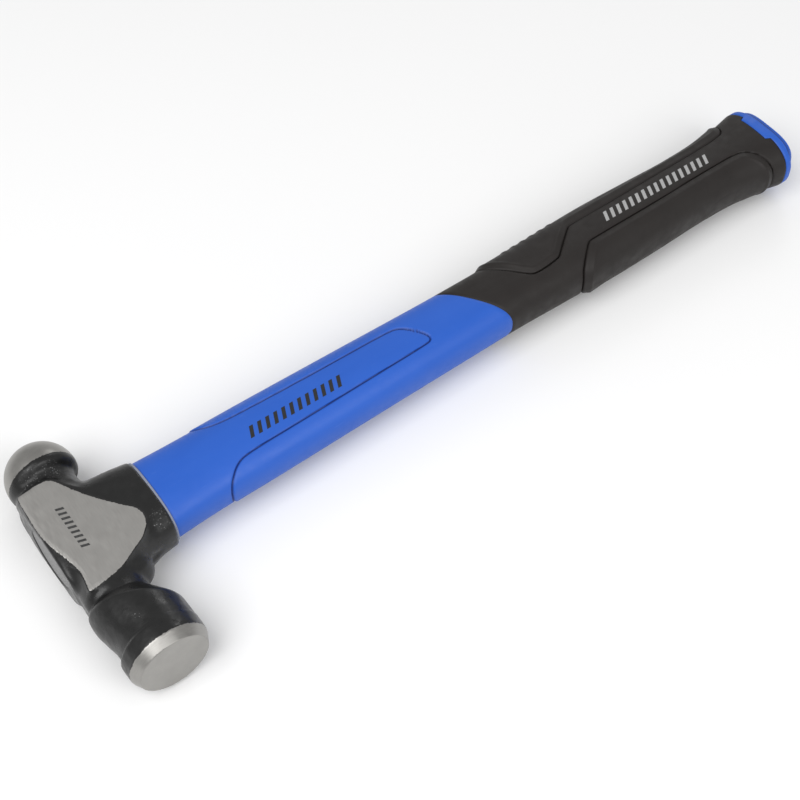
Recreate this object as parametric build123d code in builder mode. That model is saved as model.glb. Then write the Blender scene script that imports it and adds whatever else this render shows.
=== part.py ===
from build123d import *
import os
from math import copysign, cos, pi, sin

# Ball peen hammer with a one pound head and a fibreglass handle.
# Millimetres. The origin is the middle of the striking face. +Y runs along the head to
# the ball, +X runs along the handle to the butt, and +Z comes out of the upper cheek.
# The hammer is the same above and below the plane z = 0.

# ---- head ----
head_length = 108.0
eye_y = 61.4  # the handle's axis crosses the head here
face_radius = 13.5
face_chamfer = 4.0
collar_radius = 15.5
collar_end_y = 12.6
ball_radius = 13.9
ball_y = head_length - ball_radius
ball_base_angle = -55.0  # the ball runs from here, inside its neck,
ball_tip_angle = 88.0  # to here, where it ends in a small flat
cheek_height = 11.8
cheek_start_y = 33.0
cheek_end_y = 85.0
cheek_middle_y = (cheek_start_y + cheek_end_y) / 2
head_top_x = -14.7
skirt_end_x = 27.4

# Sections across the head: y, the middle's x, half width along x, half height, exponent.
# The barrel behind the collar leans towards the top of the head as it runs back.
barrel_sections = [
    (9.0, 0.4, 14.7, 14.9, 2.0),
    (15.4, 0.5, 14.8, 14.9, 2.0),
    (21.0, -0.7, 14.8, 14.8, 2.0),
    (26.0, -2.1, 14.0, 13.9, 2.0),
    (30.0, -3.0, 12.6, 12.4, 2.0),
    (34.0, -3.0, 11.9, 11.7, 2.1),
    (46.0, -1.5, 12.6, 12.2, 2.3),
]
ball_neck_sections = [
    (75.0, -1.5, 13.2, 12.2, 2.5),
    (81.0, -1.3, 12.2, 11.4, 2.2),
    (86.0, -0.7, 11.3, 10.9, 2.0),
    (92.0, 0.0, 10.6, 10.6, 2.0),
]

# Sections across the handle's axis: x, half width on the ball side and on the face
# side, half height, exponent.
body_sections = [
    (head_top_x, 19.6, 19.8, 10.6, 3.2),
    (-10.0, 19.8, 20.8, 12.2, 3.0),
    (4.0, 19.2, 20.8, 12.7, 2.9),
    (16.0, 18.6, 20.4, 12.5, 2.8),
    (23.0, 18.0, 19.6, 12.0, 2.7),
    (skirt_end_x, 17.3, 18.5, 11.4, 2.6),
]

# ---- eye ----
eye_sections = [
    (head_top_x, 13.4, 12.4, 8.6, 2.0),
    (0.0, 12.6, 11.4, 7.4, 2.0),
    (13.0, 12.8, 12.8, 7.2, 2.0),
]
socket_floor_x = eye_sections[-1][0]
resin_recess = 0.6
rod_cover = 1.2  # epoxy over the end of the rod

# ---- fibreglass rod ----
rod_width = 21.0
rod_thickness = 11.0
rod_end_x = 323.0

# ---- jacket, grip and cap ----
seal_width = 0.7
seal_inset = 0.15
jacket_start_x = skirt_end_x + seal_width
tenon_half_width = 14.2
tenon_half_height = 8.2
grip_edge_x = 176.0  # where the slanting grip edge crosses the handle's axis
grip_edge_slope = 0.71  # run along the handle for each millimetre across it
sleeve_wall = 2.6
sleeve_end_x = 332.4
pad_depth = 1.2
pad_side_rise = 1.2
pad_cheek_rise = 0.8
pad_corner_radius = 3.0
cap_flange_end_x = 336.2
cap_end_x = 339.0
cap_plate_inset = 1.2
cap_tab_length = 1.2
cap_tab_width = 17.0
cap_tab_y = eye_y + 2.5
cap_edge_radius = 1.0
beyond = 30.0  # clear of the handle on every side

oval_exponent = 2.5
oval_point_count = 24

# Along the handle: x, half width on the ball side and on the face side, half height.
handle_rows = [
    (jacket_start_x, 16.9, 17.9, 10.9),
    (40.0, 16.5, 17.1, 10.9),
    (75.0, 16.2, 16.4, 10.9),
    (122.0, 15.4, 15.3, 10.9),
    (169.0, 14.6, 14.4, 10.9),
    (192.0, 14.7, 14.0, 11.0),
    (215.0, 15.3, 14.4, 11.3),
    (243.0, 16.1, 14.6, 11.6),
    (268.0, 15.6, 14.0, 11.6),
    (292.0, 15.1, 13.2, 11.5),
    (309.0, 16.0, 13.7, 11.6),
    (321.0, 18.0, 15.5, 12.1),
    (sleeve_end_x, 20.4, 18.2, 13.0),
]

# Corners of the pads: x, and distance from the handle's axis towards the ball.
ball_pad_corners = [
    (185.5, beyond),
    (188.5, 12.5),
    (196.5, 3.4),
    (204.0, -4.8),
    (217.5, -3.8),
    (231.0, 7.7),
    (250.0, 7.6),
    (283.0, 8.5),
    (317.0, 9.0),
    (323.5, beyond),
]
face_pad_corners = [
    (220.5, -beyond),
    (222.2, -14.5),
    (232.5, -4.4),
    (266.0, -4.1),
    (294.0, -3.2),
    (315.0, -3.2),
    (321.0, -11.0),
    (327.0, -beyond),
]


def oval_points(half_width, half_height, exponent):
    """Points round an oval that is an ellipse at exponent 2 and squarer above it."""
    points = []
    for step in range(oval_point_count):
        angle = 2 * pi * step / oval_point_count
        across = copysign(abs(cos(angle)) ** (2 / exponent), cos(angle))
        up = copysign(abs(sin(angle)) ** (2 / exponent), sin(angle))
        points.append((half_width * across, half_height * up))
    return points


def oval_face(plane, half_width, half_height, exponent):
    """An oval face on a plane."""
    with BuildSketch(plane) as oval:
        with BuildLine():
            Spline(*oval_points(half_width, half_height, exponent), periodic=True)
        make_face()
    return oval.sketch


def handle_plane(x, y=eye_y):
    """The plane across the handle at x, with its own x along +Y."""
    return Plane(origin=(x, y, 0), x_dir=(0, 1, 0), z_dir=(1, 0, 0))


def handle_section(x, ball_side, face_side, half_height, exponent=oval_exponent):
    """An oval across the handle, with its own half width on each side of the axis."""
    middle_y = eye_y + (ball_side - face_side) / 2
    half_width = (ball_side + face_side) / 2
    return oval_face(handle_plane(x, middle_y), half_width, half_height, exponent)


def head_section(y, middle_x, half_width, half_height, exponent):
    """An oval across the head."""
    across = Plane(origin=(middle_x, y, 0), x_dir=(1, 0, 0), z_dir=(0, 1, 0))
    return oval_face(across, half_width, half_height, exponent)


def handle_form(side_growth, cheek_growth):
    """The handle's sections, grown outwards, or inwards where a number is negative."""
    return [
        handle_section(x, ball + side_growth, face + side_growth, height + cheek_growth)
        for x, ball, face, height in handle_rows
    ]


def pad_outline(corners):
    """A pad's outline on a plane below the handle, with its inner corners rounded."""
    placed = [(x, eye_y + across) for x, across in corners]
    with BuildSketch(Plane.XY.offset(-beyond)) as outline:
        with BuildLine():
            FilletPolyline(*placed, radius=pad_corner_radius)
            Line(placed[-1], placed[0])
        make_face()
    return outline.sketch


# The oval rod that carries the load from the head to the grip.
rod_start_x = head_top_x + resin_recess + rod_cover
with BuildPart() as rod:
    with BuildSketch(handle_plane(rod_start_x)):
        SlotOverall(rod_width, rod_thickness)
    extrude(amount=rod_end_x - rod_start_x)

# The forged head: striking drum, neck, body with its skirt, ball neck and ball.
with BuildPart() as head:
    with BuildSketch(Plane.XY):
        with BuildLine():
            Polyline(
                (0, 0),
                (face_radius, 0),
                (collar_radius, face_chamfer),
                (collar_radius, collar_end_y),
                (0, collar_end_y),
                close=True,
            )
        make_face()
    revolve(axis=Axis.Y)
    loft(sections=[head_section(*row) for row in barrel_sections])
    loft(sections=[handle_section(*row) for row in body_sections])
    loft(sections=[head_section(*row) for row in ball_neck_sections])
    with Locations(Location((0, ball_y, 0), (-90, 0, 0))):
        Sphere(
            ball_radius,
            arc_size1=ball_base_angle,
            arc_size2=ball_tip_angle,
            align=None,
        )
    for side in (Plane.XY, Plane.XY.rotated((180, 0, 0))):
        with BuildSketch(side.offset(cheek_height)):
            with Locations(side.to_local_coords(Vector(0, cheek_middle_y, 0))):
                Rectangle(2 * beyond, cheek_end_y - cheek_start_y)
        extrude(amount=beyond, mode=Mode.SUBTRACT)
    loft(sections=[handle_section(*row) for row in eye_sections], mode=Mode.SUBTRACT)
    with BuildSketch(handle_plane(socket_floor_x)):
        Ellipse(tenon_half_width, tenon_half_height)
    extrude(amount=jacket_start_x - socket_floor_x, mode=Mode.SUBTRACT)

# Epoxy cast round the rod in the eye and over its end, a little below the rim.
with BuildPart() as eye_resin:
    loft(sections=[handle_section(*row) for row in eye_sections])
    split(bisect_by=handle_plane(head_top_x + resin_recess), keep=Keep.TOP)
    add(rod.part, mode=Mode.SUBTRACT)

# Epoxy bead between the end of the skirt and the shoulder of the jacket.
seal_row = [side - seal_inset for side in body_sections[-1][1:4]]
with BuildPart() as skirt_seal:
    extrude(handle_section(skirt_end_x, *seal_row), amount=seal_width)
    with BuildSketch(handle_plane(skirt_end_x)):
        Ellipse(tenon_half_width, tenon_half_height)
    extrude(amount=seal_width, mode=Mode.SUBTRACT)

# The slanting plane where the jacket's shaft ends and the grip starts.
grip_edge_plane = Plane(
    origin=(grip_edge_x, eye_y, 0),
    x_dir=(0, 0, 1),
    z_dir=(1, grip_edge_slope, 0),
)

# The blue jacket: a tenon in the skirt, the shaft, and a thinner core under the grip.
with BuildPart() as jacket:
    loft(sections=handle_form(0, 0))
    split(bisect_by=grip_edge_plane, keep=Keep.BOTTOM)
    loft(sections=handle_form(-sleeve_wall, -sleeve_wall))
    with BuildSketch(handle_plane(socket_floor_x)):
        Ellipse(tenon_half_width, tenon_half_height)
    extrude(amount=jacket_start_x - socket_floor_x)
    with BuildSketch(handle_plane(socket_floor_x)):
        SlotOverall(rod_width, rod_thickness)
    extrude(amount=sleeve_end_x - socket_floor_x, mode=Mode.SUBTRACT)

# The butt cap: a flange, an end plate, a tab on each cheek and a spigot in the jacket.
with BuildPart() as butt_cap:
    with BuildSketch(Plane.XY.offset(-beyond)):
        with Locations((sleeve_end_x - cap_tab_length / 2, cap_tab_y)):
            Rectangle(cap_tab_length, cap_tab_width)
    extrude(amount=2 * beyond)
    loft(sections=handle_form(0, 0), mode=Mode.INTERSECT)
    loft(sections=handle_form(-sleeve_wall, -sleeve_wall), mode=Mode.SUBTRACT)
    ball_side, face_side, half_height = handle_rows[-1][1:]
    flange = handle_section(sleeve_end_x, ball_side, face_side, half_height)
    extrude(flange, amount=cap_flange_end_x - sleeve_end_x)
    plate = handle_section(
        cap_flange_end_x,
        ball_side - cap_plate_inset,
        face_side - cap_plate_inset,
        half_height - cap_plate_inset,
    )
    extrude(plate, amount=cap_end_x - cap_flange_end_x)
    fillet(butt_cap.faces().sort_by(Axis.X)[-1].edges(), cap_edge_radius)
    with BuildSketch(handle_plane(rod_end_x)):
        SlotOverall(rod_width, rod_thickness)
    extrude(amount=sleeve_end_x - rod_end_x)

# The space that each pad fills, from the floor of its pocket outwards.
with BuildPart() as ball_pad_space:
    extrude(pad_outline(ball_pad_corners), amount=2 * beyond)
    loft(sections=handle_form(-pad_depth, -pad_depth), mode=Mode.SUBTRACT)

with BuildPart() as face_pad_space:
    extrude(pad_outline(face_pad_corners), amount=2 * beyond)
    loft(sections=handle_form(-pad_depth, -pad_depth), mode=Mode.SUBTRACT)

# The black grip sleeve, with pockets for the two pads and the cap's tabs.
with BuildPart() as grip_sleeve:
    loft(sections=handle_form(0, 0))
    split(bisect_by=grip_edge_plane, keep=Keep.TOP)
    loft(sections=handle_form(-sleeve_wall, -sleeve_wall), mode=Mode.SUBTRACT)
    add(ball_pad_space.part, mode=Mode.SUBTRACT)
    add(face_pad_space.part, mode=Mode.SUBTRACT)
    add(butt_cap.part, mode=Mode.SUBTRACT)

# The pads stand proud of the sleeve, most at the sides of the hand.
with BuildPart() as ball_side_pad:
    loft(sections=handle_form(pad_side_rise, pad_cheek_rise))
    add(ball_pad_space.part, mode=Mode.INTERSECT)

with BuildPart() as face_side_pad:
    loft(sections=handle_form(pad_side_rise, pad_cheek_rise))
    add(face_pad_space.part, mode=Mode.INTERSECT)

pieces = {
    "head": head,
    "eye_resin": eye_resin,
    "rod": rod,
    "skirt_seal": skirt_seal,
    "jacket": jacket,
    "grip_sleeve": grip_sleeve,
    "ball_side_pad": ball_side_pad,
    "face_side_pad": face_side_pad,
    "butt_cap": butt_cap,
}
os.makedirs("parts", exist_ok=True)
for name, piece in pieces.items():
    piece.part.label = name
    export_step(piece.part, f"parts/{name}.step")
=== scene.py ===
import itertools
import math

import bpy
import numpy as np
from mathutils import Matrix, Vector


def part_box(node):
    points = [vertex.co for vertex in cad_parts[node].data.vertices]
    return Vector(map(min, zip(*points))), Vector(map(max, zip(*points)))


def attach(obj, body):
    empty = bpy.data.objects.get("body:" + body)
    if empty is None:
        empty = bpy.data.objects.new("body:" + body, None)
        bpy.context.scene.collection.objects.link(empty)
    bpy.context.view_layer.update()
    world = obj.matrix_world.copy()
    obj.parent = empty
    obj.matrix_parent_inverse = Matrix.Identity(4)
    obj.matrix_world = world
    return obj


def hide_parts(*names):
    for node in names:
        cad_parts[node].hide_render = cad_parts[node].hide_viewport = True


# Ball peen hammer lying on its side: the looks of the forged head, the blue jacket, the
# black grip and the butt cap. Lengths are in millimetres until a mesh is made.
# +Y runs along the head to the ball, +X along the handle to the butt, +Z out of the
# upper cheek, and the origin is the middle of the striking face.

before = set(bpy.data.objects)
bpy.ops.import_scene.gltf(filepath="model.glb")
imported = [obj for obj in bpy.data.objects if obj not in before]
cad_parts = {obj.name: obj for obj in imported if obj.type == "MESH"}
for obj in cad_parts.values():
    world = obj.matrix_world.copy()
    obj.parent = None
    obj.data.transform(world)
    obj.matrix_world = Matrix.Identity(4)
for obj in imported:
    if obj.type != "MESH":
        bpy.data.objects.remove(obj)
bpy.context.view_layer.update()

mm = 0.001


def node_box(node):
    """Lowest and highest corner of a CAD node in millimetres."""
    low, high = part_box(node)
    return np.array(low) / mm, np.array(high) / mm


# ---- places taken from the frame ----
head_low, head_high = node_box("head")
rod_low, rod_high = node_box("rod")
seal_low, seal_high = node_box("skirt_seal")

eye_y = (rod_low[1] + rod_high[1]) / 2
skirt_end_x = seal_low[0]
jacket_start_x = seal_high[0]
socket_floor_x = node_box("jacket")[0][0]
sleeve_end_x = node_box("grip_sleeve")[1][0]
cap_end_x = node_box("butt_cap")[1][0]
resin_x = node_box("eye_resin")[0][0]
collar_radius = head_high[2]

# ---- camera and light ----
camera_azimuth = -36.39
camera_elevation = 53.41
camera_distance = 557.7
camera_target = (114.95, 26.74, 29.92)
camera_lens = 69.66
camera_sensor = 36.0
world_strength = 0.52

# ---- head ----
face_radius = 13.5
face_chamfer = 4.0
collar_step_y = 10.4
shoulder_y = 24.8  # the drum's slanting shoulder crosses the handle's side here
shoulder_slope = 0.42
shoulder_fall = 0.6
ball_radius = 13.9
ball_y = head_high[1] - ball_radius
ball_lip_y = 90.2
ball_bright_y = ball_y - 0.7
cheek_height = 11.8
head_top_x = resin_x - 0.6
lens_x = resin_x - 0.1
lens_creep = 0.1
lens_hollow = 0.25
lens_wave = 0.05
lens_gap = 0.02
tenon_half_width = 14.2
tenon_half_height = 8.2
grid_step = 0.45
settling_rounds = 4
longest_move = 0.25

# Sections across the head: y, the middle's x, half width along x, half height, exponent.
barrel_rows = np.array([
    (4.0, 0.2, 14.8, 15.0, 2.0),
    (9.0, 0.4, 14.9, 15.25, 2.0),
    (15.4, 0.6, 14.8, 15.35, 2.0),
    (21.0, 0.0, 15.3, 15.2, 2.0),
    (26.0, -0.8, 15.3, 14.9, 2.0),
    (31.0, -1.4, 14.5, 14.4, 2.0),
    (37.0, -2.0, 12.5, 12.0, 2.0),
])
neck_rows = np.array([
    (20.0, -3.0, 11.3, 11.2, 2.0),
    (33.0, -3.1, 11.7, 11.5, 2.0),
    (40.0, -2.2, 12.2, 11.9, 2.2),
    (46.0, -1.5, 12.6, 12.2, 2.3),
    (60.0, -1.2, 13.2, 12.2, 2.5),
    (75.0, -1.8, 13.6, 12.0, 2.6),
    (81.0, -2.1, 13.0, 11.3, 2.4),
    (86.0, -1.8, 12.2, 10.6, 2.1),
    (90.0, -1.1, 11.4, 10.4, 2.0),
    (95.0, 0.0, 10.6, 10.4, 2.0),
])

# Sections across the handle's axis: x, half width on the ball side and on the face
# side, half height, exponent.
body_rows = np.array([
    (head_top_x, 19.8, 19.8, 10.6, 3.2),
    (-10.0, 20.0, 20.8, 12.2, 3.0),
    (4.0, 19.2, 20.8, 12.6, 2.9),
    (16.0, 18.6, 20.4, 12.4, 2.8),
    (23.0, 18.0, 19.6, 11.9, 2.7),
    (skirt_end_x, 17.3, 18.9, 11.5, 2.75),
])

# Sections of the eye: x, the middle and the half width along the head, half height.
eye_rows = np.array([
    (-16.7, 0.1, 14.9, 11.2, 2.0),
    (-14.7, 0.1, 13.2, 9.5, 2.0),
    (-14.1, 0.1, 12.7, 9.0, 2.0),
    (0.0, 0.3, 12.0, 7.4, 2.0),
    (14.0, 0.0, 12.8, 7.2, 2.0),
])

# The ground flat on each cheek: x, and distance from the handle's axis to the ball.
shield_corners = [
    (-13.7, 21.3), (-13.0, 22.5), (-11.8, 22.6), (-4.0, 23.3), (0.2, 22.2), (3.8, 14.5),
    (9.1, 5.8), (15.5, -2.4), (19.6, -7.2), (19.4, -13.0), (15.4, -18.0), (9.3, -20.9),
    (5.3, -23.3), (0.7, -24.9), (-5.0, -25.9), (-10.6, -26.4), (-11.4, -26.2), (-11.3, -25.3),
    (-10.0, -19.3), (-10.6, -13.6), (-12.9, -5.0), (-14.5, 2.0), (-14.1, 14.0),
]
shield_taper = 0.3
shield_foot = 3.0
shield_edge_drop = 0.4
shield_edge_run = 0.9
shield_crown = 0.6  # the flank's form goes this far above the flat before it is cut

# The flat is bevelled along its edge above the eye, from one distance before x = 0 on.
bevel_slope = 0.14
bevel_width = 1.3
bevel_start = 4.0
bevel_end = 9.0

# A round swelling of the neck beside the skirt: its middle and its half sizes.
boss_place = (6.5, 38.5)
boss_size = (7.8, 5.6, 8.5)

# How far the creases between the head's forms are rounded or filled.
chamfer_round = 0.25
collar_step_round = 1.2
face_edge_round = 0.2
shoulder_round = 0.5
collar_fill = 0.6
flank_round = 0.8
flank_foot_round = 2.0
boss_fill = 1.5
neck_fill = 2.6
flank_fill = 3.0
top_round = 1.1
skirt_round = 1.1
cheek_round = 0.3
eye_round = 0.5
ball_lip_round = 2.4
ball_fill = 3.0
drum_fill = 0.5

# The bare steel of the cheeks ends this far below the flat, or a little more on the bevel.
bare_depth = 0.12
bare_bevel_depth = 0.05
bare_steepness = 20.0
cheek_start_y = 31.0
no_cheek = -5.0

# Unevenness of the black forging: height, size and seed.
forging_waves = [(0.10, 5.5, 1), (0.05, 1.9, 2)]
pit_wave = (0.03, 0.9, 3)

# Rough patches of the forging: x, y, z of the middle and the reach. A patch is rough
# all through its core, and the forging is uneven from the paint's edge inwards.
pit_patches = [
    (-6.0, 89.0, 10.5, 5.5),
    (3.0, 88.0, 10.5, 5.0),
    (24.1, 47.5, 9.0, 5.5),
    (-3.8, 15.5, 14.3, 2.6),
]
pit_core = 0.35
paint_edge = (0.1, 1.5)

# ---- handle ----
oval_exponent = 2.5
sleeve_wall = 2.6
core_gap = 0.1
rod_flat_half = 5.0
rod_round = 5.5
rod_corner = 6
grip_edge_x = 176.0
grip_edge_slope = 0.71
slant_start_x = 154.0
slant_fade = 45.0
edge_round = 0.35

# Along the handle: x, half width on the ball side and on the face side, half height.
handle_rows = np.array([
    (jacket_start_x, 16.9, 17.9, 10.9),
    (40.0, 16.5, 17.1, 10.9),
    (75.0, 16.2, 16.4, 10.9),
    (122.0, 15.4, 15.3, 10.9),
    (169.0, 14.6, 14.4, 10.9),
    (192.0, 14.7, 14.0, 11.0),
    (215.0, 15.3, 14.4, 11.3),
    (243.0, 16.1, 14.6, 11.6),
    (268.0, 15.6, 14.0, 11.6),
    (292.0, 15.1, 13.2, 11.5),
    (309.0, 16.0, 13.7, 11.6),
    (321.0, 18.0, 15.5, 12.1),
    (sleeve_end_x, 20.4, 18.2, 13.0),
])

# The jacket's lower panel, a tongue between two raised sides: x, distance to the ball.
tongue_corners = [
    (20.0, 40.0), (50.5, 40.0), (51.5, 17.0), (56.0, 12.2), (62.5, 9.0), (81.0, 8.0),
    (112.0, 7.1), (139.5, 6.9), (144.5, 5.4), (150.6, -3.0), (151.2, -6.6), (147.0, -7.1),
    (120.7, -7.7), (88.9, -8.5), (66.0, -8.9), (59.5, -10.0), (53.6, -15.0), (51.5, -18.0),
    (51.0, -40.0), (20.0, -40.0),
]
panel_drop = 0.45
panel_step = (0.1, 0.75)
groove_depth = 0.4
groove_half_width = 0.33

# ---- grip pads ----
pad_depth = 1.2
pad_side_rise = 1.2
pad_cheek_rise = 0.8
pad_edge_round = 0.5
pad_lip_width = 2.4
pad_lip_drop = 0.95
pad_crest_rise = 0.2
pad_crest_reach = 0.8
pad_gap = 0.42
pocket_rim_drop = 0.18
pocket_rim_width = 0.6
face_pad_swell = 0.55  # the face side pad is fuller at its front end, round here:
face_pad_swell_x = 227.5
face_pad_swell_reach = 5.0
pocket_reach = 30.0  # a pocket's outline closes this far to the side

ball_pad_edge = [
    (186.9, 20.0), (188.5, 12.5), (196.5, 3.4), (202.6, -3.6), (205.6, -4.6), (211.0, -4.4),
    (216.8, -3.7), (218.2, -3.0), (219.6, -1.8), (229.4, 6.0), (231.0, 7.2), (233.0, 7.7),
    (250.0, 7.6), (283.0, 8.5), (317.0, 9.0), (320.8, 10.9), (324.8, 20.0),
]
face_pad_edge = [
    (221.0, -20.0), (222.4, -14.0), (226.6, -9.8), (231.6, -5.4), (232.8, -4.6), (234.2, -4.2),
    (266.0, -4.1), (294.0, -3.2), (315.5, -3.2), (320.7, -5.8), (324.8, -11.3), (328.3, -22.0),
]
rib_start_x = 201.1
rib_pitch = 4.8
rib_count = 6
rib_height = 0.3
rib_full_height = 6.0
rib_end_height = 9.5

# ---- seal between the skirt and the jacket ----
seal_half_height = 0.32
seal_half_width = 0.5
seal_ball_inset = 0.6
seal_face_inset = 1.0
seal_cheek_inset = 0.7
seal_exponent = 2.55
seal_wobble = 0.14

# ---- printed marks ----
mark_fill = 0.46
mark_thickness = 0.3

# ---- butt cap ----
cap_flange_end_x = 336.2
cap_plate_inset = 0.9
cap_tab_length = 2.2
cap_tab_half_width = 8.5
cap_tab_middle = 2.5
cap_plate_ball_inset = 2.8
cap_plate_face_inset = 1.6
cap_plate_exponent = 3.2
# Painted shade at the foot of the cap's end plate, as a share of the darkest blue.
cap_foot_shade = 0.8
sleeve_side_reach = 1.0
flare_run = 6.0
cap_gap = 0.12
cap_edge_length = 0.5

# Rings of the cap: distance beyond the sleeve, share of the flange, or x; and the inset.
cap_edge_rings = [(0.0, sleeve_wall), (0.0, 0.35), (0.25, 0.08)]
cap_flange_rings = [(0.0, 0.0), (0.35, 0.0), (0.8, 0.0), (0.93, 0.06)]
cap_plate_rings = [
    (cap_flange_end_x, 0.35),
    (cap_flange_end_x, cap_plate_inset - 0.15),
    (cap_flange_end_x + 0.25, cap_plate_inset),
    (cap_end_x - 0.9, cap_plate_inset + 0.05),
    (cap_end_x - 0.4, cap_plate_inset + 0.3),
    (cap_end_x - 0.1, cap_plate_inset + 0.8),
    (cap_end_x, cap_plate_inset + 1.6),
    (cap_end_x, 6.0),
    (cap_end_x, 10.0),
]


# ---- curves and solids as numbers ----
def smooth_curve(knots, values, at):
    """Values at the given places on a smooth curve through the knots, flat beyond them."""
    slopes = np.gradient(values, knots)
    at = np.clip(at, knots[0], knots[-1])
    left = np.clip(np.searchsorted(knots, at) - 1, 0, len(knots) - 2)
    step = knots[left + 1] - knots[left]
    t = (at - knots[left]) / step
    start = (1 + 2 * t) * (1 - t) ** 2 * values[left]
    start += t * (1 - t) ** 2 * step * slopes[left]
    end = t * t * (3 - 2 * t) * values[left + 1]
    end += t * t * (t - 1) * step * slopes[left + 1]
    return start + end


def row_values(rows, at):
    """Each column of a table of sections, after the first, at the given places."""
    return [smooth_curve(rows[:, 0], rows[:, column], at) for column in range(1, rows.shape[1])]


def smooth_max(a, b, radius):
    """The larger of two distances, with the crease between them rounded."""
    blend = np.clip(0.5 + 0.5 * (a - b) / radius, 0, 1)
    return a * blend + b * (1 - blend) + radius * blend * (1 - blend)


def smooth_min(a, b, radius):
    """The smaller of two distances, with the crease between them filled."""
    return -smooth_max(-a, -b, radius)


def smooth_step(low, high, value):
    """0 below low, 1 above high, smooth between them."""
    t = np.clip((value - low) / (high - low), 0, 1)
    return t * t * (3 - 2 * t)


def oval_distance(across, up, half_width, half_height, exponent):
    """Distance along the ray from the middle of an oval, negative inside it."""
    size = (np.abs(across / half_width) ** exponent + np.abs(up / half_height) ** exponent)
    size = np.maximum(size, 1e-9) ** (1 / exponent)
    return np.hypot(across, up) * (1 - 1 / size)


def section_distance(rows, at, across, up):
    """Distance to the form of a table of sections, negative inside it."""
    middle, half_width, half_height, exponent = row_values(rows, at)
    return oval_distance(across - middle, up, half_width, half_height, exponent)


def rounded(corners, passes=3, closed=True):
    """An outline with its corners cut back again and again until they are round."""
    points = np.array(corners, float)
    for _ in range(passes):
        following = np.roll(points, -1, axis=0) if closed else points[1:]
        leading = points if closed else points[:-1]
        cut = np.stack([0.75 * leading + 0.25 * following, 0.25 * leading + 0.75 * following], axis=1)
        cut = cut.reshape(-1, 2)
        points = cut if closed else np.vstack([points[:1], cut, points[-1:]])
    return points


def outline_distance(x, y, outline):
    """Distance from points to a closed outline, negative inside it."""
    nearest = np.full(np.shape(x), 1e9)
    inside = np.zeros(np.shape(x), bool)
    for (ax, ay), (bx, by) in zip(outline, np.roll(outline, -1, axis=0)):
        run_x = bx - ax
        run_y = by - ay
        t = np.clip(((x - ax) * run_x + (y - ay) * run_y) / (run_x**2 + run_y**2), 0, 1)
        nearest = np.minimum(nearest, (x - ax - t * run_x) ** 2 + (y - ay - t * run_y) ** 2)
        if ay != by:
            spans = (ay > y) != (by > y)
            inside ^= spans & (x < ax + run_x * (y - ay) / run_y)
    return np.where(inside, -1, 1) * np.sqrt(nearest)


def noise(points, size, seed):
    """Smooth random values from -1 to 1 that change over about size millimetres."""
    cells = 32
    lattice = np.random.default_rng(seed).uniform(-1, 1, (cells, cells, cells))
    scaled = points / size
    base = np.floor(scaled).astype(int)
    blend = scaled - base
    blend = blend * blend * (3 - 2 * blend)
    total = np.zeros(len(points))
    for corner in itertools.product((0, 1), repeat=3):
        weight = np.prod(np.where(corner, blend, 1 - blend), axis=1)
        i, j, k = ((base + corner) % cells).T
        total += weight * lattice[i, j, k]
    return total


def graded(start, end, coarse, spots):
    """Positions from start to end, coarse apart, and closer inside the spots given as
    (from, to, spacing)."""
    samples = np.linspace(start, end, 4001)
    spacing = np.full_like(samples, coarse)
    for low, high, fine in spots:
        away = np.maximum(np.maximum(low - samples, samples - high), 0)
        spacing = np.minimum(spacing, fine + 0.12 * away)
    steps = np.diff(samples) / spacing[1:]
    count = np.concatenate([[0], np.cumsum(steps)])
    return np.interp(np.linspace(0, count[-1], math.ceil(count[-1]) + 1), count, samples)


# ---- meshes ----
def make_piece(name, points, faces, nodes, material, crease=40.0):
    """A mesh object of the hammer from points in millimetres."""
    mesh = bpy.data.meshes.new(name)
    mesh.from_pydata((np.reshape(points, (-1, 3)) * mm).tolist(), [], faces)
    mesh.validate()
    mesh.shade_smooth()
    if crease:
        mesh.set_sharp_from_angle(angle=math.radians(crease))
    piece = bpy.data.objects.new(name, mesh)
    bpy.context.scene.collection.objects.link(piece)
    mesh.materials.append(material)
    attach(piece, "root")
    if nodes:
        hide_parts(*nodes)
    return piece


def paint(piece, name, values):
    """Stores one number for each vertex, for the material to read."""
    attribute = piece.data.attributes.new(name, "FLOAT", "POINT")
    attribute.data.foreach_set("value", np.asarray(values, np.float32).ravel())


def band_faces(rows, columns, close_rows=False, flip=False):
    """Quads over a grid of points whose columns close into rings."""
    faces = []
    for row in range(rows if close_rows else rows - 1):
        below = row * columns
        above = (row + 1) % rows * columns
        for column in range(columns):
            following = (column + 1) % columns
            quad = (below + column, below + following, above + following, above + column)
            faces.append(quad[::-1] if flip else quad)
    return faces


def block_faces(rows, columns, flip=False):
    """Faces over a grid of points whose columns close into rings, with both ends closed."""
    faces = band_faces(rows, columns)
    faces.append(tuple(range(columns))[::-1])
    faces.append(tuple((rows - 1) * columns + column for column in range(columns)))
    return [face[::-1] for face in faces] if flip else faces


def grid_normals(points):
    """Unit normals of a grid of points whose columns close into rings."""
    along = np.gradient(points, axis=0)
    around = np.roll(points, -1, axis=1) - np.roll(points, 1, axis=1)
    normals = np.cross(around, along)
    return normals / np.maximum(np.linalg.norm(normals, axis=2, keepdims=True), 1e-9)


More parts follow.
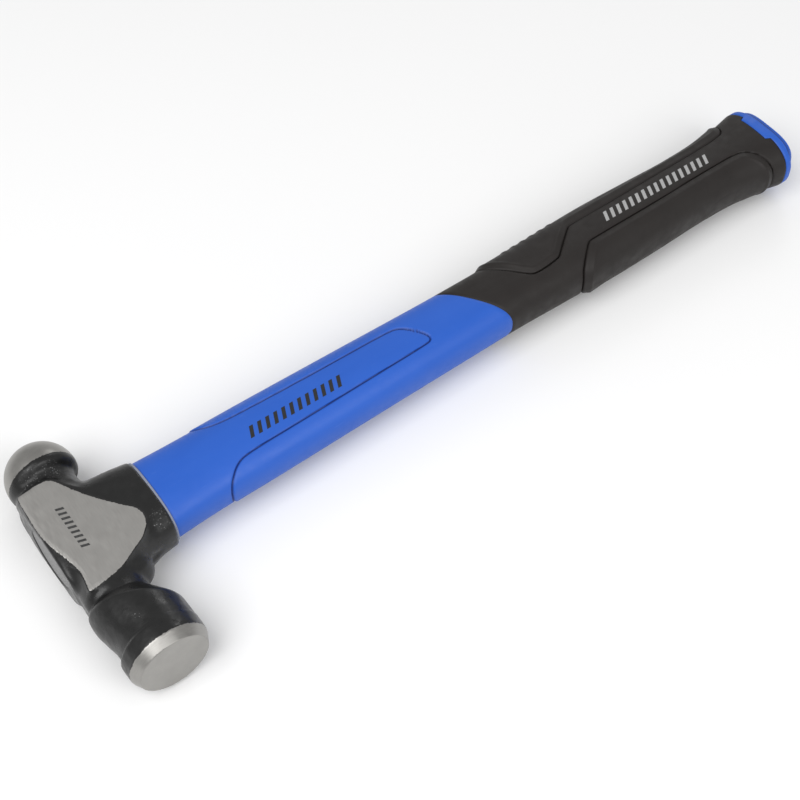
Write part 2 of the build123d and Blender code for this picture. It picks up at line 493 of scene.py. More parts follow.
def surface_net(values, origin, step):
    """Points and quads of the surface where a grid of distances changes sign, with one
    point in each cell that the surface crosses."""
    cells = tuple(np.array(values.shape) - 1)
    total = np.zeros(cells + (3,))
    count = np.zeros(cells)
    for axis in range(3):
        for offset in itertools.product((0, 1), repeat=2):
            start = np.insert(offset, axis, 0)
            end = np.insert(offset, axis, 1)
            a = values[tuple(slice(s, s + n) for s, n in zip(start, cells))]
            b = values[tuple(slice(s, s + n) for s, n in zip(end, cells))]
            crossed = (a < 0) != (b < 0)
            place = start + np.eye(3)[axis] * (a[crossed] / (a - b)[crossed])[:, None]
            total[crossed] += place
            count[crossed] += 1
    used = count > 0
    index = np.full(cells, -1)
    index[used] = np.arange(used.sum())
    points = origin + step * (np.argwhere(used) + total[used] / count[used][:, None])
    quads = []
    for axis in range(3):
        side, other = (axis + 1) % 3, (axis + 2) % 3
        a = values.take(range(cells[axis]), axis)
        b = values.take(range(1, cells[axis] + 1), axis)
        edges = np.argwhere((a < 0) != (b < 0))
        edges = edges[(edges[:, side] > 0) & (edges[:, other] > 0)]
        outward = a[tuple(edges.T)] < 0
        ring = []
        for back_side, back_other in ((1, 1), (0, 1), (0, 0), (1, 0)):
            cell = edges.copy()
            cell[:, side] -= back_side
            cell[:, other] -= back_other
            ring.append(index[tuple(cell.T)])
        ring = np.stack(ring, axis=1)
        quads.append(np.where(outward[:, None], ring, ring[:, ::-1]))
    return points, np.vstack(quads)


# ---- materials ----
class Finish:
    """A material with short calls that add nodes and join them."""

    def __init__(self, name):
        self.material = bpy.data.materials.new(name)
        self.material.use_nodes = True
        self.tree = self.material.node_tree
        self.shader = self.tree.nodes["Principled BSDF"]
        self.place = self.tree.nodes.new("ShaderNodeTexCoord").outputs["Object"]

    def node(self, kind, settings=None, **inputs):
        """A node with its settings and inputs. An input is a number, a colour or an output."""
        node = self.tree.nodes.new(kind)
        for key, value in (settings or {}).items():
            setattr(node, key, value)
        for key, value in inputs.items():
            self.join(node.inputs[key.replace("_", " ")], value)
        return node

    def join(self, socket, value):
        if isinstance(value, bpy.types.NodeSocket):
            self.tree.links.new(value, socket)
        else:
            socket.default_value = value

    def set(self, socket, value):
        """Sets or links one of the shader's own inputs."""
        self.join(self.shader.inputs[socket], value)

    def stretched(self, scale):
        """The place on the object, stretched by a number for each axis."""
        return self.node("ShaderNodeMapping", Vector=self.place, Scale=scale).outputs[0]

    def noise(self, size, detail=3.0, where=None, distortion=0.0):
        """Soft noise whose features are about size millimetres across."""
        scale = 1 / (size * mm)
        vector = self.place if where is None else where
        return self.node(
            "ShaderNodeTexNoise", Vector=vector, Scale=scale, Detail=detail, Distortion=distortion
        ).outputs["Fac"]

    def remap(self, value, low, high, to_low=0.0, to_high=1.0):
        """A value's range moved to another, and held at its ends."""
        return self.node(
            "ShaderNodeMapRange", Value=value, From_Min=low, From_Max=high, To_Min=to_low, To_Max=to_high
        ).outputs["Result"]

    def maths(self, operation, first, second=0.0):
        node = self.tree.nodes.new("ShaderNodeMath")
        node.operation = operation
        self.join(node.inputs[0], first)
        self.join(node.inputs[1], second)
        return node.outputs[0]

    def mix(self, factor, first, second):
        """A colour between two, as a factor from 0 to 1 says."""
        node = self.tree.nodes.new("ShaderNodeMix")
        node.data_type = "RGBA"
        self.join(node.inputs[0], factor)
        self.join(node.inputs[6], first)
        self.join(node.inputs[7], second)
        return node.outputs[2]

    def attribute(self, name):
        return self.node("ShaderNodeAttribute", {"attribute_name": name}).outputs["Fac"]

    def bump(self, *layers):
        """Joins height layers, each (height, depth in millimetres), into the shader's normal."""
        normal = None
        for height, depth in layers:
            node = self.node("ShaderNodeBump", Height=height, Distance=depth * mm)
            if normal is not None:
                self.join(node.inputs["Normal"], normal)
            normal = node.outputs[0]
        self.set("Normal", normal)


def grey(value):
    return (value, value, value, 1.0)


def forged_steel():
    """Black paint over a forging, ground to bare steel where the mesh says so, with painted glints in the
    rough patches and painted light on the cheeks' flats.
    """
    finish = Finish("forged_steel")
    separate = finish.node("ShaderNodeSeparateXYZ", Vector=finish.place)
    x, y, z = separate.outputs
    radius = finish.maths("ADD", finish.maths("MULTIPLY", x, x), finish.maths("MULTIPLY", z, z))
    radius = finish.maths("SQRT", radius)
    turn = finish.maths("MULTIPLY", finish.maths("ARCTAN2", z, x), 0.0012)
    turned = finish.node("ShaderNodeCombineXYZ", X=radius, Y=y, Z=turn).outputs[0]
    turned_marks = finish.noise(0.22, 2.0, turned)
    straight_marks = finish.noise(0.2, 2.0, finish.stretched((1.0, 0.04, 1.0)))
    on_cheek = finish.attribute("cheek")
    marks = finish.mix(on_cheek, turned_marks, straight_marks)

    ragged = finish.remap(finish.noise(0.9, 4.0), 0.3, 0.7, -0.22, 0.22)
    bright = finish.remap(finish.maths("ADD", finish.attribute("ground"), ragged), -0.05, 0.06)

    smear = finish.noise(6.0, 3.0)
    # Painted light: on the cheeks' flats both steel tones are lighter copies, standing in for the light the
    # flats reflect.
    steel_dark = finish.mix(on_cheek, (0.27, 0.263, 0.25, 1), (0.40, 0.39, 0.373, 1))
    steel_light = finish.mix(on_cheek, (0.42, 0.41, 0.392, 1), (0.55, 0.537, 0.515, 1))
    steel_colour = finish.mix(marks, steel_dark, steel_light)
    steel_colour = finish.mix(finish.remap(smear, 0.35, 0.7, 0.0, 0.35), steel_colour, steel_dark)
    paint_colour = finish.mix(finish.noise(2.5, 5.0), grey(0.006), grey(0.013))
    rough_patch = finish.attribute("pits")
    # Painted glints: grey specks on the black paint of the rough patches stand in for sparkling highlights.
    painted_glint = finish.remap(finish.noise(0.42, 2.0), 0.665, 0.71)
    painted_glint = finish.maths("MULTIPLY", painted_glint, rough_patch)
    paint_colour = finish.mix(finish.maths("MULTIPLY", painted_glint, 0.8), paint_colour, grey(0.5))
    finish.set("Base Color", finish.mix(bright, paint_colour, steel_colour))
    finish.set("Metallic", bright)
    finish.set("Specular IOR Level", 0.38)

    steel_roughness = finish.remap(marks, 0.3, 0.7, 0.34, 0.46)
    paint_roughness = finish.remap(finish.noise(3.5, 4.0), 0.3, 0.7, 0.24, 0.4)
    paint_roughness = finish.maths("ADD", paint_roughness, finish.maths("MULTIPLY", rough_patch, 0.16))
    finish.set("Roughness", finish.mix(bright, paint_roughness, steel_roughness))

    painted = finish.maths("SUBTRACT", 1.0, bright)
    peel = finish.maths("MULTIPLY", finish.noise(1.1, 3.0), painted)
    grit = finish.maths("MULTIPLY", finish.maths("MULTIPLY", finish.noise(0.45, 3.0), rough_patch), painted)
    scratches = finish.maths("MULTIPLY", marks, bright)
    finish.bump((peel, 0.05), (grit, 0.05), (scratches, 0.01))
    return finish.material


def blue_plastic():
    """Satin moulded plastic with a fine grain, faint flow marks and a few scuffs, darkened by painted shade
    in grooves and creases.
    """
    finish = Finish("blue_plastic")
    flow = finish.noise(14.0, 3.0, finish.stretched((0.35, 1.0, 1.0)), 0.6)
    colour = finish.mix(flow, (0.011, 0.086, 0.45, 1), (0.019, 0.108, 0.52, 1))
    scuff = finish.remap(finish.noise(0.9, 4.0, finish.stretched((0.12, 1.0, 1.0))), 0.66, 0.8, 0.0, 0.25)
    colour = finish.mix(scuff, colour, (0.07, 0.17, 0.56, 1))
    # Painted shade: the blue turns deep navy where the mesh marks a groove or crease.
    groove_and_painted_shade = finish.attribute("groove_and_painted_shade")
    colour = finish.mix(groove_and_painted_shade, colour, (0.003, 0.016, 0.13, 1))
    finish.set("Base Color", colour)
    finish.set("Specular IOR Level", 0.4)
    roughness = finish.remap(finish.noise(3.0, 4.0), 0.3, 0.7, 0.40, 0.52)
    finish.set("Roughness", finish.maths("ADD", roughness, finish.maths("MULTIPLY", scuff, 0.3)))
    finish.bump((finish.noise(0.28, 2.0), 0.012), (finish.noise(1.6, 2.0), 0.01))
    return finish.material


def grip_rubber():
    """Matt moulded rubber with a fine grain and a slight bloom."""
    finish = Finish("grip_rubber")
    bloom = finish.noise(11.0, 4.0, None, 0.4)
    colour = finish.mix(bloom, (0.0115, 0.0093, 0.0085, 1), (0.0195, 0.0165, 0.0152, 1))
    dust = finish.remap(finish.noise(0.35, 3.0), 0.68, 0.8, 0.0, 0.3)
    colour = finish.mix(dust, colour, grey(0.05))
    finish.set("Base Color", colour)
    finish.set("Specular IOR Level", 0.3)
    finish.set("Roughness", finish.remap(finish.noise(4.0, 4.0), 0.3, 0.7, 0.46, 0.62))
    finish.bump((finish.noise(0.32, 3.0), 0.035), (finish.noise(2.2, 2.0), 0.02))
    return finish.material


def epoxy(name, dark, light):
    """Cast resin with a few small bubbles, their pits darkened by painted shade."""
    finish = Finish(name)
    cloud = finish.noise(3.0, 4.0)
    bubble = finish.node("ShaderNodeTexVoronoi", Vector=finish.place, Scale=1 / (1.3 * mm))
    bubble = finish.remap(bubble.outputs["Distance"], 0.08, 0.16)
    colour = finish.mix(cloud, dark, light)
    # Painted shade: the bubbles' pits are a darker copy of the resin.
    bubble_pit_shade = tuple(0.6 * channel for channel in dark[:3]) + (1.0,)
    finish.set("Base Color", finish.mix(bubble, bubble_pit_shade, colour))
    finish.set("Roughness", finish.remap(cloud, 0.3, 0.7, 0.42, 0.58))
    finish.bump((bubble, 0.08), (finish.noise(0.5, 3.0), 0.03))
    return finish.material


def fibreglass():
    """Pultruded rod with fibres along its length."""
    finish = Finish("fibreglass")
    fibres = finish.noise(0.35, 3.0, finish.stretched((0.02, 1.0, 1.0)))
    finish.set("Base Color", finish.mix(fibres, (0.50, 0.43, 0.22, 1), (0.72, 0.66, 0.45, 1)))
    finish.set("Roughness", finish.remap(fibres, 0.3, 0.7, 0.3, 0.5))
    finish.bump((fibres, 0.04))
    return finish.material


def ink(name, dark, light):
    """A printed or etched mark, worn a little thin."""
    finish = Finish(name)
    worn = finish.remap(finish.noise(0.5, 4.0), 0.35, 0.75)
    finish.set("Base Color", finish.mix(worn, grey(dark), grey(light)))
    finish.set("Roughness", finish.remap(worn, 0.0, 1.0, 0.45, 0.6))
    finish.bump((finish.noise(0.3, 2.0), 0.015))
    return finish.material


# ---- forged head ----
shield = rounded(shield_corners, passes=2)


def head_distance(points):
    """Distance from points to the surface of the plain forging, negative inside it."""
    x, y, z = points.T
    across = y - eye_y
    height = np.abs(z)

    radius = np.hypot(x, z)
    chamfer_run = collar_radius - face_radius
    chamfer = (radius - face_radius) * face_chamfer - y * chamfer_run
    chamfer = chamfer / math.hypot(face_chamfer, chamfer_run)
    collar = smooth_max(radius - collar_radius, chamfer, chamfer_round)
    collar = smooth_max(collar, y - collar_step_y, collar_step_round)
    collar = smooth_max(collar, -y, face_edge_round)
    barrel = section_distance(barrel_rows, y, x, z)
    shoulder = barrel + shoulder_fall * (y + shoulder_slope * x - shoulder_y)
    barrel = smooth_max(barrel, shoulder, shoulder_round)
    barrel = np.maximum(barrel, np.maximum(barrel_rows[0, 0] - y, y - barrel_rows[-1, 0]))
    drum = smooth_min(collar, barrel, collar_fill)

    neck = section_distance(neck_rows, y, x, z)
    neck = np.maximum(neck, np.maximum(neck_rows[0, 0] - y, y - neck_rows[-1, 0]))

    ball_side, face_side, half_height, exponent = row_values(body_rows, x)
    middle = (ball_side - face_side) / 2
    body = oval_distance(across - middle, z, (ball_side + face_side) / 2, half_height, exponent)

    edge = outline_distance(x, across, shield)
    lean = math.hypot(1, shield_taper)
    flank = (edge + (height - cheek_height) * shield_taper) / lean
    plateau = smooth_max(flank, height - cheek_height - shield_crown, flank_round)
    plateau = smooth_max(plateau, shield_foot - height, flank_foot_round)
    boss = ((x - boss_place[0]) / boss_size[0]) ** 2 + ((y - boss_place[1]) / boss_size[1]) ** 2
    boss = np.sqrt(boss + (z / boss_size[2]) ** 2) - 1
    neck = smooth_min(neck, boss * min(boss_size), boss_fill)
    middle_part = smooth_min(body, neck, neck_fill)
    middle_part = smooth_min(middle_part, plateau, flank_fill)
    middle_part = smooth_max(middle_part, head_top_x - x, top_round)
    middle_part = smooth_max(middle_part, x - skirt_end_x, skirt_round)
    ceiling = cheek_height - shield_edge_drop * (1 - np.exp(-np.maximum(edge, 0) / shield_edge_run))
    bevelled = smooth_step(bevel_start, bevel_end, -x)
    ceiling = ceiling - bevel_slope * np.maximum(edge + bevel_width, 0) * bevelled
    middle_part = smooth_max(middle_part, height - ceiling, cheek_round)

    eye = section_distance(eye_rows, x, across, z)
    middle_part = smooth_max(middle_part, -eye, eye_round)
    tenon = oval_distance(across, z, tenon_half_width, tenon_half_height, 2.0)
    middle_part = np.maximum(middle_part, -np.maximum(tenon, socket_floor_x - x))

    ball = np.sqrt(x**2 + (y - ball_y) ** 2 + z**2) - ball_radius
    ball = smooth_max(ball, ball_lip_y - y, ball_lip_round)
    steel = smooth_min(middle_part, ball, ball_fill)
    return smooth_min(steel, drum, drum_fill)


def ground_distance(points):
    """How far inside the ground steel a point is: the face and its chamfer, the ball's
    cap and the cheeks' flats. Negative on the paint. Also the share of cheek in it."""
    x, y, z = points.T
    bevelled = smooth_step(bevel_start, bevel_end, -x)
    cheek = -outline_distance(x, y - eye_y, shield)
    depth = bare_depth + (bevel_slope * bevel_width + bare_bevel_depth) * bevelled
    cheek = np.minimum(cheek, bare_steepness * (np.abs(z) - cheek_height + depth))
    cheek = np.where((y < cheek_start_y) | (y > ball_lip_y), no_cheek, cheek)
    turned = np.maximum(face_chamfer - y, y - ball_bright_y)
    return np.maximum(cheek, turned), cheek > turned


def pit_strength(points):
    """1 in the middle of the rough patches of the forging, falling to 0 round them."""
    strength = np.zeros(len(points))
    for x, y, z, reach in pit_patches:
        away = np.linalg.norm(points - (x, y, z), axis=1)
        strength = np.maximum(strength, 1 - smooth_step(pit_core * reach, reach, away))
    return strength


def forged_distance(points):
    """Distance to the forging with its uneven black surface."""
    painted = smooth_step(*paint_edge, -ground_distance(points)[0])
    uneven = sum(height * noise(points, size, seed) for height, size, seed in forging_waves)
    height, size, seed = pit_wave
    pits = height * noise(points, size, seed) * pit_strength(points)
    return head_distance(points) + painted * (uneven + pits)


def slope(distance, points, step):
    """The distance at some points and its gradient there."""
    here = distance(points)
    ahead = [distance(points + step * axis) for axis in np.eye(3)]
    return here, np.stack([value - here for value in ahead], axis=1) / step


def make_head():
    """The forging: a net over its distance field, settled onto the uneven surface."""
    low = head_low - 3 * grid_step
    size = np.ceil((head_high - low) / grid_step).astype(int) + 3
    axes = [low[axis] + grid_step * np.arange(size[axis]) for axis in range(3)]
    grid = np.stack(np.meshgrid(*axes, indexing="ij"), axis=-1).reshape(-1, 3)
    values = head_distance(grid).reshape(size)
    points, quads = surface_net(values, low, grid_step)
    for _ in range(settling_rounds):
        here, gradient = slope(forged_distance, points, 0.02)
        steepness = np.maximum((gradient**2).sum(axis=1), 0.2)
        move = -(here / steepness)[:, None] * gradient
        points = points + np.clip(move, -longest_move, longest_move)
    points = np.clip(points, head_low, head_high)
    quads = quads.tolist()
    head = make_piece("head_forging", points, quads, ["head"], forged_steel(), None)
    ground, cheek = ground_distance(points)
    paint(head, "ground", ground)
    paint(head, "cheek", cheek)
    paint(head, "pits", pit_strength(points))
    gradient = slope(forged_distance, points, 0.1)[1]
    gradient = gradient / np.linalg.norm(gradient, axis=1, keepdims=True)
    head.data.normals_split_custom_set_from_vertices(gradient.tolist())
    return head


# ---- handle forms ----
def placed(x, across, up):
    """Points from their x, their distance from the handle's axis to the ball, and height."""
    return np.stack([x + 0 * across, eye_y + across, up], axis=-1)


def oval_ring(ball_side, face_side, half_height, angle, exponent=oval_exponent):
    """Distance to the ball and height of an oval's points at the given angles."""
    across = np.sign(np.cos(angle)) * np.abs(np.cos(angle)) ** (2 / exponent)
    up = np.sign(np.sin(angle)) * np.abs(np.sin(angle)) ** (2 / exponent)
    middle = (ball_side - face_side) / 2
    return middle + (ball_side + face_side) / 2 * across, half_height * up


def handle_ring(x, angle, side_growth=0.0, cheek_growth=0.0):
    """Points of the handle's form, grown outwards, for each x and angle."""
    ball_side, face_side, half_height = row_values(handle_rows, x)
    across, up = oval_ring(
        ball_side + side_growth, face_side + side_growth, half_height + cheek_growth, angle
    )
    return placed(x, across, up)


def cheek_surface(x, across):
    """Height of the handle's form above a point of its middle plane."""
    ball_side, face_side, half_height = row_values(handle_rows, x)
    share = np.abs(across - (ball_side - face_side) / 2) / ((ball_side + face_side) / 2)
    return half_height * (1 - share**oval_exponent) ** (1 / oval_exponent)


def edge_angle(x, across):
    """The angle on the upper cheek at which the form is that far towards the ball."""
    ball_side, face_side, _ = row_values(handle_rows, x)
    share = (across - (ball_side - face_side) / 2) / ((ball_side + face_side) / 2)
    share = np.clip(share, -1, 1)
    return np.arccos(np.sign(share) * np.abs(share) ** (oval_exponent / 2))


def mirrored(angles):
    """Angles from 0 to half a turn, and the same again below the middle plane."""
    return np.concatenate([angles, 2 * math.pi - angles[-2:0:-1]])


def slanted(x, angle, shift_from):
    """Moves x along the handle so that the last row lies on the grip's slanting edge."""
    across = handle_ring(np.full_like(angle, grip_edge_x), angle)[:, 1] - eye_y
    share = np.clip((x - shift_from) / (grip_edge_x - shift_from), 0, None)
    return x[:, None] - grip_edge_slope * across * np.minimum(share, 1)[:, None]


def make_jacket(material):
    """The blue shaft with its panel and groove, a core under the grip and a tenon, all
    round the hole for the rod."""
    angle = mirrored(np.radians(graded(0, 180, 2.4, [(50, 76, 1.2), (106, 128, 1.2)])))
    along = graded(jacket_start_x, grip_edge_x, 0.9, [(50, 66, 0.4), (138, 153, 0.4)])
    x = slanted(along, angle, slant_start_x)
    outer = handle_ring(x, angle)
    normals = grid_normals(outer)
    edge = outline_distance(x, outer[..., 1] - eye_y, rounded(tongue_corners))
    raised = smooth_step(*panel_step, edge)
    # The groove's profile cuts the groove and is also painted into it as shade.
    groove_and_painted_shade = np.exp(-((edge / groove_half_width) ** 4))
    start_round = edge_round * (1 - smooth_step(0, 0.8, x - jacket_start_x))
    end_round = edge_round * (1 - smooth_step(0, 0.5, x[-1] - x))
    drop = panel_drop * (1 - raised) * (1 - start_round) + groove_depth * groove_and_painted_shade + start_round + end_round
    outer = outer - normals * drop[..., None]

    rings = [outer]
    core_inset = -sleeve_wall - core_gap
    for ring_x in (x[-1], np.full_like(angle, sleeve_end_x)):
        rings.append(handle_ring(ring_x, angle, core_inset, core_inset)[None])
    rod_across = rod_flat_half * np.tanh(rod_corner * np.cos(angle)) + rod_round * np.cos(angle)
    rod_up = rod_round * np.sin(angle)
    tenon_across, tenon_up = oval_ring(tenon_half_width, tenon_half_width, tenon_half_height, angle, 2.0)
    for ring_x, across, up in (
        (sleeve_end_x, rod_across, rod_up),
        (socket_floor_x, rod_across, rod_up),
        (socket_floor_x, tenon_across, tenon_up),
        (jacket_start_x, tenon_across, tenon_up),
    ):
        rings.append(placed(ring_x, across, up)[None])
    points = np.concatenate(rings)
    faces = band_faces(points.shape[0], len(angle), close_rows=True, flip=True)
    jacket = make_piece("jacket_shaft", points, faces, ["jacket"], material)
    # The groove's profile, stored for the material as painted shade.
    shade = np.zeros(points.shape[:2])
    shade[: len(along)] = groove_and_painted_shade
    paint(jacket, "groove_and_painted_shade", shade)
    return jacket


def pad_outline(edge, side):
    """The closed outline of a pad's pocket seen from above, from its inner edge."""
    inner = rounded(edge, passes=2, closed=False)
    far = [(edge[-1][0], side * pocket_reach), (edge[0][0], side * pocket_reach)]
    return np.vstack([inner, far])


def tab_share(across):
    """1 where the butt cap has a tab over the cheek, 0 beside it."""
    return 1 - smooth_step(cap_tab_half_width - 1.0, cap_tab_half_width, np.abs(across - cap_tab_middle))


def sleeve_end_at(across):
    """Where the sleeve ends: set back under the cap's tab and further out beside it."""
    return sleeve_end_x + sleeve_side_reach - cap_tab_length * tab_share(across)


def make_sleeve(material):
    """The black sleeve with pockets for the pads and notches for the cap's tabs."""
    angle = mirrored(np.radians(graded(0, 180, 2.8, [(54, 112, 1.3)])))
    along = graded(grip_edge_x, sleeve_end_x, 0.9, [(184, 234, 0.4), (312, sleeve_end_x, 0.5)])
    across = handle_ring(np.full_like(angle, grip_edge_x), angle)[:, 1] - eye_y
    share = 1 - smooth_step(grip_edge_x, grip_edge_x + slant_fade, along)
    x = along[:, None] - grip_edge_slope * across * share[:, None]
    end_across = handle_ring(np.full_like(angle, sleeve_end_x), angle)[:, 1] - eye_y
    share = smooth_step(sleeve_end_x - flare_run, sleeve_end_x, along)
    x = x + (sleeve_end_at(end_across) - sleeve_end_x) * share[:, None]
    outer = handle_ring(x, angle)
    normals = grid_normals(outer)
    plan = outer[..., 1] - eye_y
    drop = np.zeros_like(x)
    for edge, side in ((ball_pad_edge, 1), (face_pad_edge, -1)):
        pocket = outline_distance(x, plan, pad_outline(edge, side)) - pad_gap
        drop = np.maximum(drop, pad_depth * (1 - smooth_step(-0.3, 0.05, pocket)))
        drop = np.maximum(drop, pocket_rim_drop * (1 - smooth_step(0.0, pocket_rim_width, pocket)))
    drop += edge_round * (1 - smooth_step(0, 0.5, x - x[0]))
    drop += edge_round * (1 - smooth_step(0, 0.5, x[-1] - x))
    outer = outer - normals * drop[..., None]
    inner = [handle_ring(ring_x, angle, -sleeve_wall, -sleeve_wall)[None] for ring_x in (x[-1], x[0])]
    points = np.concatenate([outer] + inner)
    faces = band_faces(points.shape[0], len(angle), close_rows=True, flip=True)
    return make_piece("grip_sleeve_moulding", points, faces, ["grip_sleeve"], material)


def rib_height_at(x, points):
    """Height of the thumb rest's ribs."""
    phase = (x - rib_start_x) / rib_pitch
    wave = np.clip(np.cos(2 * math.pi * (phase - 0.5)) + 0.35, 0, None) / 1.35
    within = smooth_step(-0.1, 0.3, phase) * (1 - smooth_step(rib_count - 0.3, rib_count + 0.1, phase))
    low_down = 1 - smooth_step(rib_full_height, rib_end_height, np.abs(points[..., 2]))
    return rib_height * wave * within * low_down


def make_pad(name, node, edge, side, spots, material):
    """A pad that wraps one side of the grip between its edges on the two cheeks."""
    inner_edge = rounded(edge, passes=2, closed=False)
    start, end = inner_edge[0, 0], inner_edge[-1, 0]
    along = graded(start, end, 0.9, spots)
    across = np.interp(along, inner_edge[:, 0], inner_edge[:, 1])
    half_angle = edge_angle(along, across)
    if side < 0:
        half_angle = math.pi - half_angle
    kept = half_angle > 0.12
    along, half_angle = along[kept], half_angle[kept]
    share = graded(-1, 1, 0.035, [(-1, -0.97, 0.012), (0.97, 1, 0.012)])
    angle = half_angle[:, None] * share[::-1] if side > 0 else math.pi - half_angle[:, None] * share
    x = np.repeat(along[:, None], len(share), axis=1)
    rise = pad_side_rise
    if side < 0:
        rise = rise + face_pad_swell * np.exp(-(((x - face_pad_swell_x) / face_pad_swell_reach) ** 2))
    top = handle_ring(x, angle, rise, pad_cheek_rise)
    foot = handle_ring(x, angle, -pad_depth - core_gap, -pad_depth - core_gap)
    normals = top - foot
    normals /= np.linalg.norm(normals, axis=2, keepdims=True)
    base = handle_ring(x, angle, 0, 0)
    inside = -outline_distance(x, base[..., 1] - eye_y, pad_outline(edge, side))
    bevel = pad_lip_drop * np.clip(1 - inside / pad_lip_width, 0, 1)
    bevel = bevel - pad_crest_rise * np.exp(-(((inside - pad_lip_width) / pad_crest_reach) ** 2))
    inside = np.clip(inside, 0, pad_edge_round)
    drop = bevel + pad_edge_round - np.sqrt(pad_edge_round**2 - (pad_edge_round - inside) ** 2)
    if side > 0:
        drop = drop - rib_height_at(x, base)
    top = top - normals * drop[..., None]
    loops = np.concatenate([top, foot[:, ::-1]], axis=1)
    faces = block_faces(*loops.shape[:2])
    return make_piece(name, loops, faces, [node], material)


def make_cap(material):
    """The butt cap: tabs on the cheeks, a flange and a raised end plate."""
    angle = mirrored(np.linspace(0, math.pi, 97))
    ball_side, face_side, half_height = handle_rows[-1, 1:]
    across, _ = oval_ring(ball_side, face_side, half_height, angle)
    start = sleeve_end_at(across) + cap_gap
    grid = []

    def add_ring(x, inset, ball_inset=0.0, face_inset=0.0, exponent=oval_exponent):
        ball_half = ball_side - inset - ball_inset
        face_half = face_side - inset - face_inset
        ring_across, up = oval_ring(ball_half, face_half, half_height - inset, angle, exponent)
        grid.append(placed(x, ring_across, up))

    for step, inset in cap_edge_rings:
        add_ring(start + step, inset)
    flange_start = start + cap_edge_length
    for share, inset in cap_flange_rings:
        add_ring(flange_start + share * (cap_flange_end_x - flange_start), inset)
    first_plate_ring = len(grid)
    for x, inset in cap_plate_rings:
        add_ring(x, inset, cap_plate_ball_inset, cap_plate_face_inset, cap_plate_exponent)
    points = np.array(grid)
    rows, columns = points.shape[:2]
    middle_y = eye_y + (ball_side - face_side) / 2
    faces = band_faces(rows, columns, flip=True)
    points = points.reshape(-1, 3)
    points = np.vstack([points, (points[0, 0], middle_y, 0), (cap_end_x, middle_y, 0)])
    first, last = len(points) - 2, len(points) - 1
    for column in range(columns):
        following = (column + 1) % columns
        faces.append((first, following, column))
        faces.append((last, (rows - 1) * columns + column, (rows - 1) * columns + following))
    cap = make_piece("butt_cap_moulding", points, faces, ["butt_cap"], material)
    # Painted shade: two rings at the foot of the end plate are darkened as if in the step's shadow.
    shade = np.zeros(len(points))
    foot = (first_plate_ring + 1) * columns
    shade[foot: foot + 2 * columns] = cap_foot_shade
    paint(cap, "groove_and_painted_shade", shade)
    return cap


def make_seal(material):
    """The bead of epoxy between the skirt and the jacket, a little uneven."""
    angle = mirrored(np.linspace(0, math.pi, 121))
    oval = body_rows[-1, 1:4] - (seal_ball_inset, seal_face_inset, seal_cheek_inset)
    turn = np.linspace(0, 2 * math.pi, 13)[:-1]
    grid = []
    for step in turn:
        height = seal_half_height * math.cos(step)
        ring_across, up = oval_ring(*(oval + height), angle, seal_exponent)
        x = (skirt_end_x + jacket_start_x) / 2 + seal_half_width * math.sin(step)
        ring = placed(x, ring_across, up)
        wobble = seal_wobble * noise(ring, 2.6, 7)[:, None] * math.cos(step)
        outward = ring - (x, eye_y, 0)
        grid.append(ring + wobble * outward / np.linalg.norm(outward, axis=1, keepdims=True))
    points = np.array(grid)
    faces = band_faces(len(turn), len(angle), close_rows=True)
    return make_piece("seal_bead", points, faces, ["skirt_seal"], material)


def make_lens(material):
    """The epoxy in the eye, with its top a little hollow and creeping up the rim."""
    angle = mirrored(np.linspace(0, math.pi, 73))
    shares = [0.0, 0.02, 0.05, 0.1, 0.18, 0.3, 0.45, 0.6, 0.75, 0.88, 0.97]
    grid = []
    for x in (socket_floor_x - 0.2, 9.0, 0.0, -8.0, lens_x + 0.6):
        middle, half_width, half_height, _ = row_values(eye_rows, np.array(x))
        half_width = half_width - lens_gap
        across, up = oval_ring(half_width, half_width, half_height - lens_gap, angle, 2.0)
        grid.append(placed(x, middle + across, up))
    middle, half_width, half_height, _ = row_values(eye_rows, np.array(lens_x))
    for share in shares:
        across, up = oval_ring(half_width, half_width, half_height, angle, 2.0)
        x = lens_x - lens_creep + lens_hollow * smooth_step(0, 0.25, share)
        ring = placed(x, middle + across * (1 - share), up * (1 - share))
        ring[:, 0] += lens_wave * noise(ring, 3.0, 9) * smooth_step(0, 0.1, share)
        grid.append(ring)
    points = np.array(grid)
    faces = block_faces(*points.shape[:2])
    return make_piece("eye_lens", points, faces, ["eye_resin"], material)


# ---- rows of marks ----
def ground_flat(x, across):
    """Height of the cheek's flat, the same everywhere."""
    return np.full_like(x, cheek_height)


def panel_surface(x, across):
    """Height of the jacket's lower panel."""
    return cheek_surface(x, across) - panel_drop


def make_marks(name, middle, length, height, count, lean, along_head, surface, lift, material):
    """A row of slanted bars laid on a surface."""
    pitch = length / (count - 1 + mark_fill)
    width = pitch * mark_fill
    t, s = np.meshgrid(np.linspace(-0.5, 0.5, 9), np.linspace(0, 1, 4), indexing="ij")
    blocks, faces = [], []
    for bar in range(count):
        reading = s * width + lean * t * height + bar * pitch - length / 2
        rising = t * height
        if along_head:
            x, across = middle[0] - rising, middle[1] + reading
        else:
            x, across = middle[0] + reading, middle[1] + rising
        top = surface(x, across) + lift
        for side in (1, -1):
            outer = placed(x, across, side * top)
            buried = placed(x, across, side * (top - mark_thickness))
            loops = np.concatenate([outer, buried[:, ::-1]], axis=1)
            first = len(blocks) * loops.size // 3
            for face in block_faces(*loops.shape[:2], (side > 0) == along_head):
                faces.append(tuple(first + corner for corner in face))
            blocks.append(loops)
    return make_piece(name, blocks, faces, [], material)


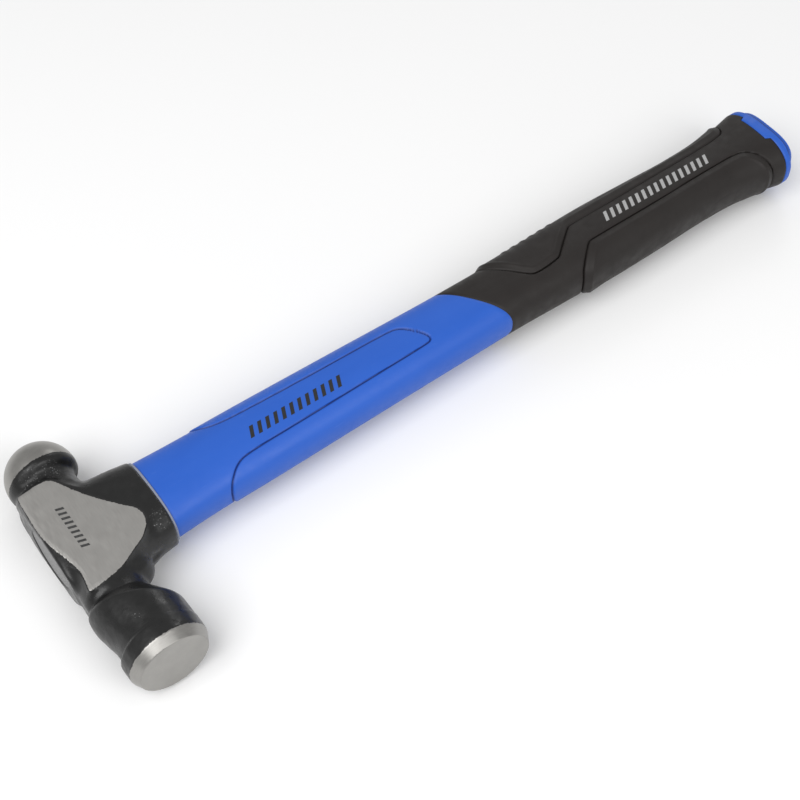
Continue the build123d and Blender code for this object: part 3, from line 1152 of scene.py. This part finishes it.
# ---- the hammer ----
blue = blue_plastic()
rubber = grip_rubber()
make_head()
make_lens(epoxy("eye_epoxy", grey(0.17), grey(0.225)))
make_seal(epoxy("seal_epoxy", (0.17, 0.19, 0.25, 1), (0.27, 0.29, 0.36, 1)))
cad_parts["rod"].data.materials.clear()
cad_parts["rod"].data.materials.append(fibreglass())
make_jacket(blue)
make_sleeve(rubber)
make_pad(
    "ball_side_pad_moulding", "ball_side_pad", ball_pad_edge, 1,
    [(186, 234, 0.4), (312, 324, 0.4)], rubber,
)
make_pad(
    "face_side_pad_moulding", "face_side_pad", face_pad_edge, -1,
    [(222, 236, 0.3), (310, 326, 0.4)], rubber,
)
make_cap(blue)
make_marks(
    "cheek_marks", (-3.45, -0.1), 19.6, 3.0, 9, 0.3, True,
    ground_flat, 0.02, ink("etched_ink", 0.02, 0.05),
)
make_marks(
    "jacket_marks", (90.5, -2.05), 41.0, 5.0, 12, 0.45, False,
    panel_surface, 0.03, ink("black_ink", 0.008, 0.016),
)
make_marks(
    "grip_marks", (275.0, 1.95), 57.0, 4.8, 17, 0.45, False,
    cheek_surface, 0.03, ink("pale_ink", 0.30, 0.42),
)


# ---- floor, lights and camera ----
def floor_finish():
    finish = Finish("studio_floor")
    finish.set("Base Color", finish.mix(finish.noise(400.0), grey(0.86), grey(0.88)))
    finish.set("Roughness", 0.9)
    finish.bump((finish.noise(6.0), 0.02))
    return finish.material


floor_half = 6.0
floor_mesh = bpy.data.meshes.new("floor")
floor_z = head_low[2] * mm
floor_turns = [(-1, -1), (1, -1), (1, 1), (-1, 1)]
floor_corners = [(i * floor_half, j * floor_half, floor_z) for i, j in floor_turns]
floor_mesh.from_pydata(floor_corners, [], [(0, 1, 2, 3)])
floor_mesh.materials.append(floor_finish())
floor = bpy.data.objects.new("floor", floor_mesh)
bpy.context.scene.collection.objects.link(floor)


def area_light(name, place, target, size, power):
    """A square soft light that points at a target."""
    data = bpy.data.lights.new(name, "AREA")
    data.size = size
    data.energy = power
    light = bpy.data.objects.new(name, data)
    light.location = place
    aim = Vector(target) - Vector(place)
    light.rotation_euler = aim.to_track_quat("-Z", "Y").to_euler()
    bpy.context.scene.collection.objects.link(light)


stage_middle = (0.16, 0.05, 0.0)
area_light("key", (-0.55, -0.1, 1.0), stage_middle, 0.9, 9.5)
area_light("rim", (1.0, 0.75, 0.62), stage_middle, 0.3, 1.0)
area_light("fill", (0.25, -0.95, 0.9), stage_middle, 0.7, 6.0)

world = bpy.data.worlds.new("studio")
bpy.context.scene.world = world
world.use_nodes = True
background = world.node_tree.nodes["Background"].inputs
background["Color"].default_value = grey(1)
background["Strength"].default_value = world_strength

azimuth = math.radians(camera_azimuth)
elevation = math.radians(camera_elevation)
right = Vector((math.cos(azimuth), math.sin(azimuth), 0))
back = Vector((
    math.sin(azimuth) * math.cos(elevation),
    -math.cos(azimuth) * math.cos(elevation),
    math.sin(elevation),
))
up = back.cross(right)
camera_data = bpy.data.cameras.new("camera")
camera_data.lens = camera_lens
camera_data.sensor_width = camera_sensor
camera_data.clip_start = 0.01
camera = bpy.data.objects.new("camera", camera_data)
bpy.context.scene.collection.objects.link(camera)
turned = Matrix((right, up, back)).transposed().to_4x4()
turned.translation = (Vector(camera_target) + back * camera_distance) * mm
camera.matrix_world = turned
bpy.context.scene.camera = camera
bpy.context.scene.view_settings.view_transform = "Standard"
